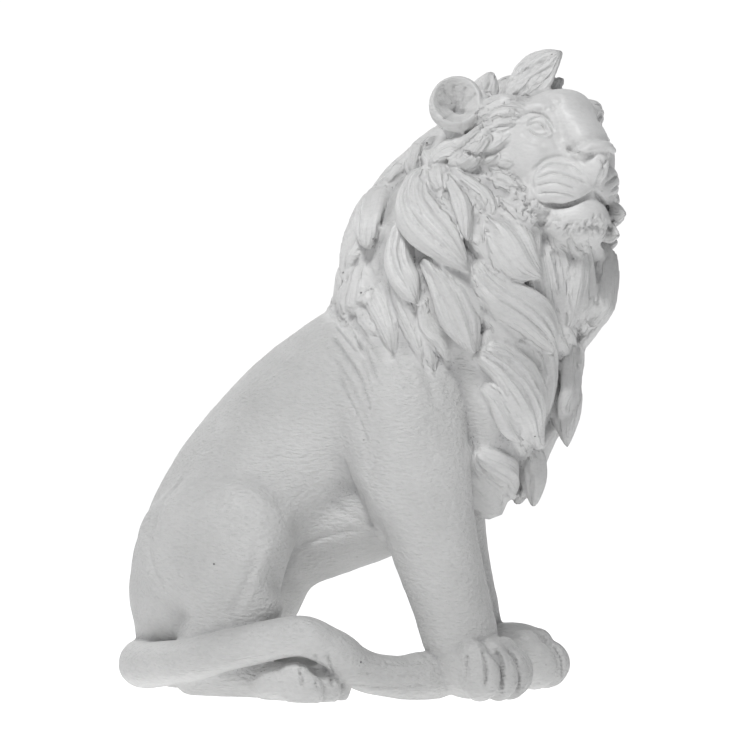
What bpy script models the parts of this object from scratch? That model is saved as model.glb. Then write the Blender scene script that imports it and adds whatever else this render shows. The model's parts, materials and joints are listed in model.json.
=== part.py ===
# Seated lion, cast in one piece: it faces +X, with its head turned to its right, towards -Y
import math

import bmesh
import bpy
from mathutils import Matrix, Vector

# Driving sizes, in metres
HEIGHT = 0.500  # floor to the tip of the crest
TAIL_THICKNESS = 0.032
PAW_WIDTH = 0.060
EAR_WIDTH = 0.042
LOCK_THICKNESS = 0.016  # a lock of the mane at its thickest
LOCK_LIFT = 0.012  # how far the tip of a lock stands off the mane
BODY_GRAIN = 0.0055  # grain of the clay for the large forms
CARVED_GRAIN = 0.003  # grain of the clay once locks, toes and face are on it
FACETS = 9500  # triangles of the finished solid

# The figure is laid out in units of which 490 make its height, the floor lying at 6
UNIT = HEIGHT / 490
FLOOR = 6

RESIN_COLOUR = (0.80, 0.80, 0.80, 1.0)
RESIN_ROUGHNESS = 0.5

# Trunk, from rump to neck: x, y, z, half depth, half width
TRUNK = [
    (-132, 0, 22, 50, 56),
    (-130, 0, 70, 66, 78),
    (-110, 0, 126, 70, 80),
    (-66, 0, 182, 73, 74),
    (-14, 0, 226, 74, 70),
    (38, 0, 258, 72, 74),
    (70, -4, 322, 64, 68),
    (98, -12, 386, 44, 50),
]
BELLY = [(-92, 0, 112, 36, 38), (-48, 0, 126, 38, 46), (12, 0, 152, 40, 50), (52, 0, 184, 38, 46)]
# Fore leg, from shoulder to wrist, right side: x, distance from the middle, z, half depth, half width
FORE_LEG = [
    (30, 46, 268, 48, 26),
    (36, 56, 226, 52, 32),
    (46, 59, 182, 46, 33),
    (57, 57, 146, 38, 30),
    (64, 52, 112, 34, 27),
    (74, 49, 76, 31, 26),
    (82, 47, 48, 30, 26),
    (88, 46, 26, 27, 25),
]
# Hind leg, right side: thigh, then shin back to the heel, then the foot
THIGH = [
    (-150, 56, 88, 38, 26),
    (-122, 68, 106, 60, 32),
    (-88, 76, 106, 64, 32),
    (-54, 82, 92, 42, 27),
]
SHIN = [(-56, 82, 88, 22, 21), (-92, 80, 56, 24, 22), (-126, 74, 28, 21, 20)]
FOOT = [(-138, 70, 22, 18, 19), (-88, 78, 23, 19, 21), (-34, 80, 24, 19, 22)]
# Tail, from the rump round the right haunch, over the toes and along the floor: x, y, z, share of thickness
TAIL = [
    (-164, 20, 40, 1.15),
    (-180, -14, 27, 1.15),
    (-164, -58, 26, 1.12),
    (-116, -92, 35, 1.02),
    (-72, -104, 46, 0.98),
    (-30, -106, 55, 0.96),
    (-5, -99, 46, 0.95),
    (12, -86, 30, 0.95),
    (36, -72, 23, 1.0),
    (60, -54, 22, 1.2),
    (86, -24, 18, 0.7),
]
FORE_PAWS = {-1: (94, 48, 29), 1: (103, 44, 29)}  # side: x, distance from the middle, z
FORE_PAW_YAW = {-1: -22, 1: 4}
HIND_PAWS = {-1: (-26, 78, 26), 1: (-62, 82, 25)}
HIND_PAW_YAW = {-1: -12, 1: 8}
FAR_FORE_SHIFT = -18  # the left fore leg and the left hind leg sit this much further back
FAR_HIND_SHIFT = -32

# Head: place of the skull's middle, and its turn
HEAD_PLACE = (139, -21, 410)
HEAD_YAW = -40.0
HEAD_PITCH = 15.0
FACE_MIDDLE = (34, 0, -6)  # round here the finished solid keeps smaller facets
FACE_REACH = 56
FACE_SHARE = 0.3
# Forms of the head, in its own frame: x to the nose, z to the crown; the second list comes on both sides
HEAD_MIDDLE = [
    ((0, 0, 3), (54, 50, 46)),  # skull
    ((20, 0, 22), (34, 32, 26)),  # forehead
    ((43, 0, -24), (24, 24, 20)),  # muzzle
    ((59, 0, -10), (9, 15, 7)),  # nose
    ((57, 0, -19), (8, 6, 9)),
    ((34, 0, -53), (17, 19, 13)),  # chin
    ((10, 0, -40), (34, 32, 22)),  # jaw
]
HEAD_SIDES = [
    ((18, 31, -8), (26, 18, 25)),  # cheek
    ((42, 16, -29), (21, 18, 17)),  # lip pad
    ((30, 21, 27), (18, 16, 9)),  # brow
    ((33, 28, 15), (9, 10, 9)),  # eye
    ((54, 11, -11), (8, 6, 6)),  # nostril
]
BRIDGE = [(24, 0, 26, 18, 22), (42, 0, 14, 15, 15), (56, 0, -6, 12, 15)]
EAR_PLACES = {-1: (-15, 62, 47), 1: (-24, 56, 38)}  # side: place in the head's frame, distance from the middle
# Tufts of hair on cheek and jaw, both sides, in the head's frame: root, middle, tip, width
JAW_TUFTS = [
    ((-16, 47, 10), (4, 52, -2), (22, 45, -8), 17),
    ((-16, 50, -10), (6, 52, -26), (26, 42, -36), 20),
    ((-10, 48, -30), (10, 48, -48), (32, 36, -58), 22),
    ((2, 42, -44), (22, 38, -62), (44, 28, -66), 20),
    ((8, 22, -54), (24, 20, -68), (40, 14, -74), 20),
]

# Mane underneath its locks, from chest to crown: z, x, y, half length, half width
MANE = [
    (138, 92, 0, 14, 22),
    (165, 90, 0, 28, 42),
    (190, 93, 0, 36, 54),
    (212, 97, 0, 46, 62),
    (240, 97, 0, 56, 72),
    (272, 90, 0, 67, 80),
    (300, 80, -1, 101, 84),
    (340, 86, -1, 101, 85),
    (362, 77, 0, 86, 82),
    (390, 76, 3, 66, 73),
    (420, 91, 4, 56, 53),
    (445, 101, 0, 42, 38),
    (462, 110, -8, 22, 24),
]
# Locks of the right side: angle and height of root, angle and height of tip, width, sideways bow
# The angle runs round the mane: 0 is the front, -90 the right side, 180 the nape
SIDE_LOCKS = [
    (-104, 418, -112, 376, 26, -6),
    (-134, 428, -138, 380, 28, -6),
    (-160, 424, -164, 366, 30, -4),
    (-128, 396, -124, 340, 34, -8),
    (-150, 382, -150, 318, 34, -6),
    (-166, 350, -158, 284, 34, -6),
    (-144, 334, -130, 268, 36, -6),
    (-112, 390, -102, 296, 32, -6),
    (-97, 398, -77, 322, 42, -12),
    (-84, 394, -70, 342, 28, 5),
    (-66, 380, -43, 322, 44, 4),
    (-54, 372, -34, 334, 30, 4),
    (-122, 330, -112, 258, 34, -6),
    (-98, 334, -83, 264, 42, -8),
    (-104, 306, -95, 244, 28, -6),
    (-74, 336, -44, 264, 42, 4),
    (-72, 304, -48, 270, 28, 4),
    (-74, 274, -47, 204, 36, 5),
    (-84, 262, -58, 192, 30, 6),
    (-88, 236, -74, 158, 30, 4),
    (-100, 222, -95, 140, 36, 0),
    (-64, 206, -48, 146, 32, 4),
    (-42, 258, -24, 190, 34, 4),
    (-40, 300, -18, 238, 34, 4),
    (-40, 356, -42, 276, 32, 0),
    (-22, 354, -35, 250, 30, 2),
    (-6, 350, 3, 282, 36, 3),
    (-16, 326, -14, 256, 30, -2),
    (-10, 282, 0, 212, 34, 2),
    (-20, 222, -12, 150, 32, 0),
]
# Nape locks lie on the middle line: angle and height of root, angle and height of tip, width, bow
NAPE_LOCKS = [
    (176, 440, 172, 388, 30, 4),
    (184, 404, 188, 342, 34, -4),
    (172, 366, 176, 300, 36, 4),
]
FREE_TUFTS = [  # forelock, the tufts behind it and those loose on the chest: root, middle, tip, width
    ((114, -30, 450), (125, -26, 480), (154, -22, 494), 42),
    ((88, -22, 448), (92, -20, 470), (101, -14, 482), 26),
    ((128, 0, 448), (138, -2, 466), (151, -5, 473), 22),
    ((98, 8, 446), (102, 10, 468), (114, 14, 478), 28),
    ((108, 26, 446), (88, 26, 466), (66, 26, 448), 30),
    ((96, -4, 456), (78, -2, 466), (54, -2, 438), 32),
    ((98, -26, 452), (80, -28, 458), (62, -24, 436), 26),
    ((132, 34, 440), (112, 44, 448), (90, 48, 420), 28),
    ((140, 8, 284), (150, 8, 240), (152, 4, 192), 32),
    ((120, -8, 210), (130, -8, 180), (128, -6, 148), 26),
    ((150, 30, 385), (178, 24, 366), (194, 22, 368), 24),
    ((150, 26, 370), (172, 22, 348), (189, 20, 350), 24),
]


def point(values):
    return Vector(values) * UNIT


def eased(stations, t):
    # Smooth reading of a list of stations, t running from 0 to 1
    last = len(stations) - 1
    place = min(max(t, 0.0), 1.0) * last
    k = min(int(place), last - 1)
    u = place - k
    p0, p1 = stations[max(k - 1, 0)], stations[k]
    p2, p3 = stations[k + 1], stations[min(k + 2, last)]
    return [
        0.5 * (2 * b + (c - a) * u + (2 * a - 5 * b + 4 * c - d) * u**2 + (3 * b - a - 3 * c + d) * u**3)
        for a, b, c, d in zip(p0, p1, p2, p3)
    ]


def end_round(t, share):
    # Rounds both ends of a sweep
    near = min(t, 1.0 - t) / share
    return 1.0 if near >= 1.0 else math.sqrt(max(0.0, 1.0 - (1.0 - near) ** 2))


def ring_sphere(clay, sides, rings):
    # A sphere given ring by ring: the ring's share of the way from pole to pole, its vertices and their angles
    made = bmesh.ops.create_uvsphere(clay, u_segments=sides, v_segments=rings, radius=1.0)
    by_ring = {}
    for v in made["verts"]:
        ring = round(math.acos(max(-1.0, min(1.0, v.co.z))) / math.pi * rings)
        by_ring.setdefault(ring, []).append((v, math.atan2(v.co.y, v.co.x)))
    for ring, around in by_ring.items():
        yield ring / rings, around


def sweep(clay, stations, side=(0, 1, 0), rings=22, sides=18, share=0.14):
    # A limb: a sphere drawn out along x, y, z stations with a half depth and a half width
    step = 0.01
    for t, ring in ring_sphere(clay, sides, rings):
        x, y, z, depth, width = eased(stations, t)
        ahead = point(eased(stations, t + step)[:3]) - point(eased(stations, t - step)[:3])
        ahead.normalize()
        across = Vector(side) - ahead * Vector(side).dot(ahead)
        across.normalize()
        out = ahead.cross(across)
        scale = end_round(t, share) * UNIT
        for v, around in ring:
            v.co = point((x, y, z)) + across * (width * scale * math.cos(around))
            v.co += out * (depth * scale * math.sin(around))


def blob(clay, place, radii, frame=Matrix(), turn=(0, 0, 0), sides=18, rings=12):
    # An ellipsoid, placed in the frame of the figure or of its head
    made = bmesh.ops.create_uvsphere(clay, u_segments=sides, v_segments=rings, radius=1.0)
    turned = Matrix.Rotation(math.radians(turn[2]), 4, "Z") @ Matrix.Rotation(math.radians(turn[1]), 4, "Y")
    turned = turned @ Matrix.Rotation(math.radians(turn[0]), 4, "X")
    size = Matrix.Diagonal((*(r * UNIT for r in radii), 1))
    bmesh.ops.transform(
        clay, matrix=frame @ Matrix.Translation(point(place)) @ turned @ size, verts=made["verts"]
    )
    return made["verts"]


def head_frame():
    turn = Matrix.Rotation(math.radians(HEAD_YAW), 4, "Z") @ Matrix.Rotation(math.radians(-HEAD_PITCH), 4, "Y")
    return Matrix.Translation(point(HEAD_PLACE)) @ turn


def mirrored(stations, side, shift=0):
    return [(x + shift, side * y, z, depth, width) for x, y, z, depth, width in stations]


def trunk_and_legs(clay):
    sweep(clay, TRUNK, rings=28, sides=24)
    sweep(clay, BELLY)
    for side in (-1, 1):
        shift = FAR_HIND_SHIFT if side > 0 else 0
        sweep(clay, mirrored(FORE_LEG, side, FAR_FORE_SHIFT if side > 0 else 0), rings=30)
        sweep(clay, mirrored(THIGH, side, shift))
        sweep(clay, mirrored(SHIN, side, shift))
        sweep(clay, mirrored(FOOT, side, shift))
    blob(clay, (-149, 0, 48), (41, 54, 50))  # rump, on the floor
    blob(clay, (40, 0, 172), (36, 44, 34))  # brisket between the fore legs


def tail(clay):
    half = TAIL_THICKNESS / UNIT / 2
    sweep(clay, [(x, y, z, half * share, half * share) for x, y, z, share in TAIL], side=(0, 0, 1), rings=40)


def paw(clay, place, side, yaw):
    # A foot with four toes, its width the paw's own
    half = PAW_WIDTH / UNIT / 2
    x, y, z = place
    frame = Matrix.Translation(point((x, side * y, z))) @ Matrix.Rotation(math.radians(yaw), 4, "Z")
    blob(clay, (-4, 0, 2), (36, half, 26), frame)
    for n in range(4):
        across = (n - 1.5) / 1.5
        reach = 24 - 7 * across**2
        blob(clay, (reach, across * half * 0.72, -4), (18, half * 0.34, 19), frame)
        blob(clay, (reach - 7, across * half * 0.68, 10), (13, half * 0.32, 13), frame)


def face(clay):
    frame = head_frame()
    for place, radii in HEAD_MIDDLE:
        blob(clay, place, radii, frame)
    for (x, y, z), radii in HEAD_SIDES:
        for side in (-1, 1):
            blob(clay, (x, side * y, z), radii, frame)
    bridge = bmesh.new()
    sweep(bridge, BRIDGE)
    joined(clay, bridge, frame)


def joined(clay, more, frame=Matrix()):
    # Adds one lump of clay to another
    bmesh.ops.transform(more, matrix=frame, verts=more.verts)
    mesh = bpy.data.meshes.new("lump")
    more.to_mesh(mesh)
    more.free()
    clay.from_mesh(mesh)
    bpy.data.meshes.remove(mesh)


def ears(clay):
    # Round cups: the front of each sphere is pushed in, all but a rolled rim
    frame = head_frame()
    half = EAR_WIDTH / UNIT / 2
    for side, (x, y, z) in EAR_PLACES.items():
        blob(clay, (x - 6, side * (y - 12), z - 12), (17, 16, 19), frame)
        cup = blob(clay, (0, 0, 0), (half * 0.72, half, half * 1.12), sides=28, rings=20)
        for v in cup:
            if v.co.x > 0:
                from_middle = math.hypot(v.co.y, v.co.z / 1.12) / (half * UNIT)
                v.co.x -= half * 1.15 * UNIT * max(0.0, 1.0 - (from_middle / 0.84) ** 2)
        aim = Matrix.Rotation(math.radians(side * 38), 4, "Z") @ Matrix.Rotation(math.radians(-12), 4, "Y")
        place = Matrix.Translation(point((x, side * y, z)))
        bmesh.ops.transform(clay, matrix=frame @ place @ aim, verts=cup)


def jaw_tufts(clay):
    frame = head_frame()
    for side in (-1, 1):
        facing = frame.to_3x3() @ Vector((0.3, side, -0.15))
        for root, middle, tip, width in JAW_TUFTS:
            ends = [frame @ point((x, side * y, z)) for x, y, z in (root, middle, tip)]
            tuft(clay, ends, width, facing)


def mane_at(angle, z):
    # Point and outward direction on the mane, angle in degrees round it
    z = min(max(z, MANE[0][0]), MANE[-1][0])
    low, high = next((a, b) for a, b in zip(MANE, MANE[1:]) if a[0] <= z <= b[0])
    u = (z - low[0]) / (high[0] - low[0])
    x, y, length, width = (a + (b - a) * u for a, b in zip(low[1:], high[1:]))
    turn = math.radians(angle)
    place = point((x + length * math.cos(turn), y + width * math.sin(turn), z))
    return place, Vector((math.cos(turn) / length, math.sin(turn) / width, 0)).normalized()


def blade(clay, spine, width, ridges=3, sides=14, rings=12):
    # A lock of hair: a flat leaf along spine(t), which gives a place and the way the leaf faces
    for t, ring in ring_sphere(clay, sides, rings):
        place, facing = spine(t)
        ahead = (spine(min(t + 0.03, 1.0))[0] - spine(max(t - 0.03, 0.0))[0]).normalized()
        across = ahead.cross(facing).normalized()
        out = across.cross(ahead)
        breadth = min(1.0, 0.62 + 0.9 * t) * (1.0 - max(0.0, (t - 0.42) / 0.58) ** 1.7)
        if t == 0.0:
            breadth = 0.0
        thickness = LOCK_THICKNESS * (1.0 - 0.65 * t) / 2 if breadth else 0.0
        for v, around in ring:
            u = math.cos(around)
            groove = 0.72 + 0.28 * abs(math.cos(ridges * math.pi * u / 2))
            v.co = place + across * (width / 2 * breadth * u) + out * (thickness * groove * math.sin(around))


def mane_lock(clay, root_angle, root_z, tip_angle, tip_z, width, bow):
    def spine(t):
        angle = root_angle + (tip_angle - root_angle) * t**1.2 + bow * math.sin(math.pi * t)
        place, facing = mane_at(angle, root_z + (tip_z - root_z) * t)
        return place + facing * (LOCK_LIFT * t**1.5), facing

    blade(clay, spine, width * UNIT)


def tuft(clay, ends, width, facing):
    a, b, c = ends

    def spine(t):
        return a * (1 - t) ** 2 + b * (2 * t * (1 - t)) + c * t * t, facing

    blade(clay, spine, width * UNIT)


def mane(clay):
    for t, ring in ring_sphere(clay, 32, 40):
        z = MANE[0][0] + (MANE[-1][0] - MANE[0][0]) * t
        for v, around in ring:
            edge = mane_at(math.degrees(around), z)[0]
            far_side = mane_at(math.degrees(around) + 180, z)[0]
            v.co = edge if 0 < t < 1 else (edge + far_side) / 2
    for lock in SIDE_LOCKS:
        root_angle, root_z, tip_angle, tip_z, width, bow = lock
        mane_lock(clay, *lock)
        mane_lock(clay, -root_angle, root_z - 4, -tip_angle, tip_z + 3, width, -bow)
    for lock in NAPE_LOCKS:
        mane_lock(clay, *lock)
    for root, middle, tip, width in FREE_TUFTS:
        tuft(clay, [point(p) for p in (root, middle, tip)], width, Vector((-0.3, -1.0, 0.2)))


def mesh_object(name, clay):
    mesh = bpy.data.meshes.new(name)
    bmesh.ops.recalc_face_normals(clay, faces=clay.faces)
    clay.to_mesh(mesh)
    clay.free()
    thing = bpy.data.objects.new(name, mesh)
    bpy.context.scene.collection.objects.link(thing)
    return thing


def fused(thing, grain, rounds):
    # One skin over forms that overlap, then its creases eased
    skin = thing.modifiers.new("skin", "REMESH")
    skin.mode = "VOXEL"
    skin.voxel_size = grain
    if rounds:
        ease = thing.modifiers.new("ease", "SMOOTH")
        ease.factor = 0.5
        ease.iterations = rounds
    return settled(thing)


def settled(thing):
    # The thing with its modifiers made real
    shown = thing.evaluated_get(bpy.context.evaluated_depsgraph_get())
    mesh = bpy.data.meshes.new_from_object(shown)
    thing.modifiers.clear()
    thing.data = mesh
    return thing


def resin():
    material = bpy.data.materials.new("white_resin")
    material.use_nodes = True
    shader = material.node_tree.nodes["Principled BSDF"]
    shader.inputs["Base Color"].default_value = RESIN_COLOUR
    shader.inputs["Roughness"].default_value = RESIN_ROUGHNESS
    shader.inputs["Metallic"].default_value = 0.0
    return material


def lion():
    clay = bmesh.new()
    trunk_and_legs(clay)
    body = fused(mesh_object("body", clay), BODY_GRAIN, 18)
    clay = bmesh.new()
    face(clay)
    head = fused(mesh_object("head", clay), CARVED_GRAIN, 3)

    clay = bmesh.new()
    tail(clay)
    for side in (-1, 1):
        paw(clay, FORE_PAWS[side], side, FORE_PAW_YAW[side])
        paw(clay, HIND_PAWS[side], side, HIND_PAW_YAW[side])
    ears(clay)
    jaw_tufts(clay)
    mane(clay)
    for form in (body, head):
        clay.from_mesh(form.data)
        bpy.data.objects.remove(form)
    figure = fused(mesh_object("lion", clay), CARVED_GRAIN, 1)

    count = 2 * len(figure.data.polygons)
    plain = figure.vertex_groups.new(name="plain")
    middle = head_frame() @ point(FACE_MIDDLE)
    for v in figure.data.vertices:
        kept = (v.co - middle).length < FACE_REACH * UNIT
        plain.add([v.index], 1.0 - FACE_SHARE if kept else 1.0, "REPLACE")
    fewer = figure.modifiers.new("fewer", "DECIMATE")
    fewer.ratio = FACETS / count
    fewer.vertex_group = plain.name
    fewer.vertex_group_factor = 0.0001
    settled(figure)
    stand_on_floor(figure)
    figure.data.materials.append(resin())
    return figure


def stand_on_floor(figure):
    # Cuts feet, tail and rump flat at the floor, and puts the origin under the middle of the figure
    bpy.ops.mesh.primitive_cube_add(size=2 * HEIGHT, location=(0, 0, FLOOR * UNIT - HEIGHT))
    floor = bpy.context.object
    cut = figure.modifiers.new("floor", "BOOLEAN")
    cut.operation = "DIFFERENCE"
    cut.object = floor
    settled(figure)
    bpy.data.objects.remove(floor)
    spots = [v.co for v in figure.data.vertices]
    middle_x = (min(p.x for p in spots) + max(p.x for p in spots)) / 2
    middle_y = (min(p.y for p in spots) + max(p.y for p in spots)) / 2
    figure.data.transform(Matrix.Translation((-middle_x, -middle_y, -FLOOR * UNIT)))


def main():
    for thing in list(bpy.data.objects):
        bpy.data.objects.remove(thing)
    figure = lion()
    group = bpy.data.collections.new("resin_lion")
    bpy.context.scene.collection.children.link(group)
    bpy.context.scene.collection.objects.unlink(figure)
    group.objects.link(figure)


main()
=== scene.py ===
# Seated lion in white cast resin: the fine casting, its material, the studio and the camera
import json
import math

import bmesh
import bpy
import numpy as np
from mathutils import Matrix, Vector, noise
from mathutils.bvhtree import BVHTree
from mathutils.kdtree import KDTree

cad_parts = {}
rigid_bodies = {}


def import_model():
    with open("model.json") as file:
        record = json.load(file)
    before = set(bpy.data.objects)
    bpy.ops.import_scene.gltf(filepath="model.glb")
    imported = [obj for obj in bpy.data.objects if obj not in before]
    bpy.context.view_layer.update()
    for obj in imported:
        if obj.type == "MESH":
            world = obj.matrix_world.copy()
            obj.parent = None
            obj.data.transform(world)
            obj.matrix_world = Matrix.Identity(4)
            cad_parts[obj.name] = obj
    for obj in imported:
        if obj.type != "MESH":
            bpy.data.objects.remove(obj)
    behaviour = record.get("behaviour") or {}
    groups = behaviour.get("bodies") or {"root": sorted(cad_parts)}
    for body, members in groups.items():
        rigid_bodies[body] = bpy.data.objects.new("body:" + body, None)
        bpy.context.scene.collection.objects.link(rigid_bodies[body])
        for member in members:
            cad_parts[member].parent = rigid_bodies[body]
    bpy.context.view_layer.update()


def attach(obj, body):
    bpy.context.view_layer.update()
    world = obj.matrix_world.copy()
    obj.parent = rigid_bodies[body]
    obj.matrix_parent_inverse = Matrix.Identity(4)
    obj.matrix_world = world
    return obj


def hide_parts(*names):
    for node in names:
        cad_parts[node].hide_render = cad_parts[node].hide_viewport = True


# Changeable values of the casting: metres, or layout units of which 490 make its height.
# A number for each side is kept under -1 for the right one, which is in view, and 1 for the left one.
# Shifts, places and widths below are layout units, angles are degrees, and pictureSize is pixels.
lion = {
    "height": 0.500,
    "unitsHigh": 490,
    "floor": 6,
    "tailThickness": 0.032,
    "pawWidth": 0.060,
    "earWidth": 0.042,
    "lockThickness": 0.016,
    "lockLift": 0.009,
    "coreInset": 6.5,
    "bodyGrain": 0.0055,
    "bodyRounds": 18,
    "headGrain": 0.003,
    "headRounds": 3,
    "carvedGrain": 0.00125,
    "faceReach": 46,
    "faceShare": 0.25,
    "quickGrain": 1.6,
    "beardStrokes": 170,
    "beardSeed": 11,
    "beardJump": 0.004,
    "beardStroke": (1.1, -1.0),
    "toeSlit": (1.9, -3.4),
    "toeSpread": 0.72,
    "hindPawHeight": 0.76,
    "pictureSize": 750,
    "triangles": 194000,
    "pixel": 0.000786,
    "recessDepth": 0.0016,
    "waves": [((34, 34, 30), 0.0014), ((95, 110, 100), 0.0003)],
    "farForeShift": -18,
    "farHindShift": -32,
    "forePaws": {-1: (94, 48, 29), 1: (103, 44, 29)},
    "forePawYaw": {-1: -22, 1: 4},
    "hindPaws": {-1: (-37, 84, 18), 1: (-62, 82, 20)},
    "hindPawYaw": {-1: -12, 1: 8},
    "headPlace": (139, -21, 410),
    "headYaw": -40.0,
    "headPitch": 15.0,
    "ears": {-1: (-15, 62, 47), 1: (-24, 56, 38)},
}

# Changeable values of the resin: colours are linear
resin = {
    "white": (0.80, 0.80, 0.795, 1.0),
    # the darker white of the short coat and the wide patches
    "dullerWhite": (0.575, 0.575, 0.57, 1.0),
    # grey of the painted shade in the hollows and of the tool strokes
    "grey": (0.36, 0.36, 0.365, 1.0),
    "speck": (0.06, 0.06, 0.065, 1.0),
    "roughness": 0.44,
    "recessRoughness": 0.75,
    "furDepth": 0.0028,
    "strandDepth": 0.0019,
    "grainDepth": 0.0003,
    "pinholeSpacing": 0.011,
    "pinholeDepth": 0.001,
    "sheen": 0.42,
    "coatStretch": (190.0, 380.0, 480.0),
    "strandStretch": (380.0, 14.0, 1.0),
}

# Changeable values of the studio
studio = {
    "floorColour": (0.72, 0.72, 0.72, 1.0),
    "floorGlowSeen": 0.95,
    "floorGlowCast": 0.60,
    "backdrop": 1.05,
    "ambient": (0.07, 0.072, 0.078, 1.0),
    "keyPower": 28.0,
    "rimPower": 4.0,
    "cameraAzimuth": 15.0,
    "cameraHeight": 0.2475,
    "cameraDistance": 2.551,
    "cameraLens": 155.8,
    "sensorWidth": 36.0,
    "keyPlace": (-0.15, -1.35, 2.05),
    "keySize": 0.5,
    "rimPlace": (-1.4, 0.7, 1.2),
    "rimSize": 0.8,
    "lightsAim": (0, 0, 0.25),
    "floorSize": 30.0,
}

unit = lion["height"] / lion["unitsHigh"]

# Large forms: x, y, z, half depth, half width
trunk = [
    (-132, 0, 22, 50, 56),
    (-130, 0, 70, 66, 78),
    (-110, 0, 126, 70, 80),
    (-66, 0, 182, 73, 74),
    (-14, 0, 226, 74, 70),
    (38, 0, 258, 72, 74),
    (70, -4, 322, 64, 68),
    (98, -12, 386, 44, 50),
]
belly = [(-92, 0, 112, 36, 38), (-48, 0, 126, 38, 46), (12, 0, 152, 40, 50), (52, 0, 184, 38, 46)]
foreLeg = [
    (44, 30, 330, 34, 18),
    (30, 46, 268, 48, 26),
    (36, 56, 226, 52, 32),
    (46, 59, 182, 46, 33),
    (57, 57, 146, 38, 30),
    (64, 52, 112, 34, 27),
    (74, 49, 76, 31, 26),
    (82, 47, 48, 30, 26),
    (88, 46, 26, 27, 25),
]
thigh = [(-150, 56, 88, 38, 26), (-122, 68, 106, 60, 32), (-88, 76, 106, 64, 32), (-54, 82, 92, 42, 27)]
shin = [(-56, 82, 88, 22, 21), (-92, 80, 56, 24, 22), (-126, 74, 28, 21, 20)]
foot = [(-138, 70, 22, 18, 19), (-88, 78, 23, 19, 21), (-34, 80, 24, 19, 22)]
rump = ((-149, 0, 48), (41, 54, 50))
breast = ((40, 0, 172), (36, 44, 34))
# Middle line of the tail, and the share of its thickness
tail = [
    (-164, 20, 40, 1.15),
    (-180, -14, 27, 1.15),
    (-164, -58, 26, 1.12),
    (-116, -92, 35, 1.02),
    (-72, -104, 46, 0.98),
    (-30, -106, 55, 0.96),
    (-5, -99, 46, 0.95),
    (12, -86, 30, 0.95),
    (36, -72, 23, 1.0),
    (60, -54, 22, 1.2),
    (86, -24, 18, 0.7),
]
# Rounded forms of the head, in its own frame: place and radii; those of headSides are on both sides
headMiddle = [
    ((0, 0, 3), (54, 50, 46)),
    ((21, 0, 22), (35, 31, 26)),
    ((40, 0, -24), (22, 22, 20)),
    ((32, 0, -57), (20, 22, 18)),
    ((10, 0, -40), (34, 32, 22)),
]
headSides = [
    ((15, 30, -6), (26, 18, 24)),
    ((27, 21, 28), (17, 15, 8)),
    ((1, 37, 33), (26, 18, 16)),
    ((-5, 39, 10), (25, 20, 25)),
    ((10, 33, -38), (26, 15, 17)),
    ((25.1, 13.0, -58.1), (19, 15, 15)),
    ((14.2, 24.0, -41.8), (17, 12, 15)),
]
# Bridge of the nose: x, y, z, half depth, half width
bridge = [(18, 0, 27, 15, 20), (38, 0, 18, 16, 20), (52, 0, 5, 13, 18), (64, 0, -9, 7, 15)]
# Hollows pressed into the head before the features go on: place, radius, depth
presses = [
    ((35, 27, 13), 12, 5.5),
    ((47, 23, 1), 12, 2.2),
    ((22, 44, 12), 14, 2.5),
    ((30, 38, -8), 12, 1.5),
]

# Features of the face, put on after the large forms are eased
noseForms = [((62, 0, -11), (12, 15.5, 6.0)), ((56, 0, -21), (14, 11, 14))]
noseSides = [((59, 11, -13.0), (11, 7.5, 4.4))]
padPlace = (36.5, 18.5, -29.5)
padRadii = (25, 14.5, 17)
padLong = (0.495, -0.80, -0.33)
eyeBall = ((31.3, 25.0, 14.5), (8.8, 9.2, 7.8))

faceMiddle = (150, -36, 412)
# Where the carving is finest, on the head and two paws: middle and reach
finePlaces = [((140, -35, 425), 84), ((108, -50, 22), 48), ((-22, -86, 16), 40)]

# Tufts in the head's frame, both sides: root, middle, tip, width, and thickness in metres
jawTufts = [
    ((-16, 47, 8), (4, 51, -4), (20, 45, -9), 11, 0.006),
    ((-16, 50, -10), (6, 52, -24), (24, 44, -30), 18, 0.009),
    ((-10, 46, -34), (10, 46, -48), (28, 36, -56), 18, 0.008),
]
# Tufts of the far jaw only, which stand out in the outline
farTufts = [
    ((22, 24, -44), (40, 28, -54), (50, 28, -56), 16, 0.009),
    ((10, 24, -58), (34, 26, -66), (44, 22, -72), 16, 0.009),
]
# Forelock, crest and the points that stand clear of the mane: root, middle, tip, width
freeTufts = [
    ((114, -30, 446), (128, -26, 476), (154, -22, 492), 36),
    ((88, -22, 448), (92, -20, 466), (99, -14, 478), 24),
    ((128, 0, 448), (138, -2, 466), (151, -5, 473), 22),
    ((98, 8, 446), (102, 10, 468), (114, 14, 478), 28),
    ((108, 26, 446), (88, 26, 466), (66, 26, 448), 30),
    ((96, -4, 456), (78, -2, 466), (54, -2, 438), 32),
    ((98, -26, 452), (80, -28, 458), (62, -24, 436), 26),
    ((132, 34, 440), (112, 44, 448), (90, 48, 420), 28),
    ((140, 8, 284), (150, 8, 240), (152, 4, 192), 32),
    ((120, -8, 210), (130, -8, 180), (128, -6, 148), 26),
    ((150, 30, 385), (178, 24, 366), (194, 22, 368), 24),
    ((150, 26, 370), (172, 22, 348), (189, 20, 350), 24),
]

# Mane underneath its locks: z, x, y, half length, half width
maneCore = [
    (138, 92, 0, 14, 22),
    (165, 90, 0, 28, 42),
    (190, 93, 0, 36, 54),
    (212, 97, 0, 46, 62),
    (240, 97, 0, 56, 72),
    (272, 90, 0, 67, 80),
    (300, 80, -1, 101, 84),
    (340, 86, -1, 101, 85),
    (362, 77, 0, 86, 82),
    (390, 76, 3, 66, 73),
    (420, 91, 4, 56, 53),
    (445, 101, 0, 42, 38),
    (462, 110, -8, 22, 24),
]
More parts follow.
